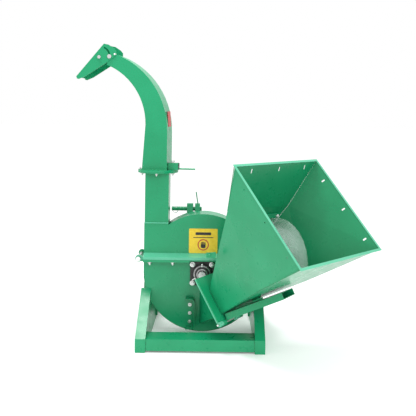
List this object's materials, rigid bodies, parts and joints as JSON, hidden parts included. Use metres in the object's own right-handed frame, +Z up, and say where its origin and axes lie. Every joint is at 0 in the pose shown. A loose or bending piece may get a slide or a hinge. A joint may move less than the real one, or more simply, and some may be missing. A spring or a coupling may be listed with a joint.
{
  "type": "wood chipper",
  "caption": "Tractor-mounted disc wood chipper with a tilted feed hopper, a round split rotor housing and a curved swivelling discharge chute.",
  "frame": {"origin": "on the ground under the middle of the whole machine's box", "axes": "+X towards the feed hopper's side, -Y towards the feed side, +Y towards the tractor, +Z up"},
  "size_m": [1.6294, 1.2832, 1.6066],
  "materials": {
    "green_paint": "gloss powder coat",
    "steel": "machined",
    "zinc": "zinc plated",
    "cast_iron": "black painted casting",
    "clear_pvc": "clear flexible PVC"
  },
  "bodies": {
    "frame": {"skid_left": "green_paint", "skid_right": "green_paint", "front_cross_beam": "green_paint", "rear_cross_beam": "green_paint", "lower_front_plate": "green_paint", "lower_back_plate": "green_paint", "lower_rim": "green_paint", "lower_split_flange_front": "green_paint", "lower_split_flange_rear": "green_paint", "housing_hinge_pin": "zinc", "feed_throat": "green_paint", "throat_flange": "green_paint", "hopper_hinge_pin": "zinc", "front_bearing": "cast_iron", "rear_bearing": "cast_iron", "bed_knife": "steel", "bed_knife_bracket": "green_paint", "hitch_plate_left": "green_paint", "hitch_plate_right": "green_paint", "lower_link_pin_left": "zinc", "lower_link_pin_right": "zinc", "top_link_mast": "green_paint", "top_link_pin": "green_paint", "pto_guard": "green_paint"},
    "rotor": {"rotor_shaft": "steel", "rotor_disc": "steel", "rotor_hub": "cast_iron", "chipper_knife_1": "steel", "chipper_knife_2": "steel", "chipper_knife_3": "steel", "chipper_knife_4": "steel", "fan_paddle_1": "steel", "fan_paddle_2": "steel", "fan_paddle_3": "steel", "fan_paddle_4": "steel"},
    "upper_housing": {"upper_front_plate": "green_paint", "upper_back_plate": "green_paint", "upper_rim": "green_paint", "upper_side_wall": "green_paint", "chute_base_tube": "green_paint", "base_swivel_flange": "green_paint", "upper_split_flange_front": "green_paint", "upper_split_flange_rear": "green_paint"},
    "chute": {"chute_elbow": "green_paint", "elbow_swivel_flange": "green_paint", "lock_box": "green_paint", "swivel_handle": "green_paint", "deflector_pivot_bolt": "zinc", "deflector_lock_bolt": "zinc"},
    "lock_pin": {"lock_pin": "zinc"},
    "deflector": {"deflector_cap": "green_paint"},
    "hopper": {"hopper_near_plate": "green_paint", "hopper_top_plate": "green_paint", "hopper_far_plate": "green_paint", "hopper_bottom_plate": "green_paint", "hopper_flange": "green_paint", "hopper_stiffener": "green_paint", "curtain_clamp_strip": "green_paint"},
    "curtain": {"feed_curtain": "clear_pvc"}
  },
  "joints": [
    {"name": "rotor_spin", "type": "hinge", "parent": "frame", "child": "rotor", "pos_m": [-0.09365, 0.08161, 0.35], "axis": [0, 1, 0], "continuous": true},
    {"name": "housing_hinge", "type": "hinge", "parent": "frame", "child": "upper_housing", "pos_m": [-0.44265, 0.14661, 0.4275], "axis": [0, -1, 0], "range_deg": [0, 85]},
    {"name": "chute_swivel", "type": "hinge", "parent": "upper_housing", "child": "chute", "pos_m": [-0.34865, 0.14661, 0.9], "axis": [0, 0, 1], "continuous": true},
    {"name": "deflector_tilt", "type": "hinge", "parent": "chute", "child": "deflector", "pos_m": [-0.67346, 0.19226, 1.532], "axis": [0.1392, 0.9903, 0], "range_deg": [0, 50]},
    {"name": "lock_pin_lift", "type": "slide", "parent": "chute", "child": "lock_pin", "axis": [0, 0, 1], "range_m": [0, 0.015]},
    {"name": "hopper_fold", "type": "hinge", "parent": "frame", "child": "hopper", "pos_m": [0.00078, -0.20173, 0.15472], "axis": [0.5534, 0.8329, 0], "range_deg": [0, 25]},
    {"name": "curtain_swing", "type": "hinge", "parent": "hopper", "child": "curtain", "pos_m": [0.19116, -0.10441, 0.66946], "axis": [0.6943, 0.7191, -0.0289], "range_deg": [-8, 3]}
  ]
}
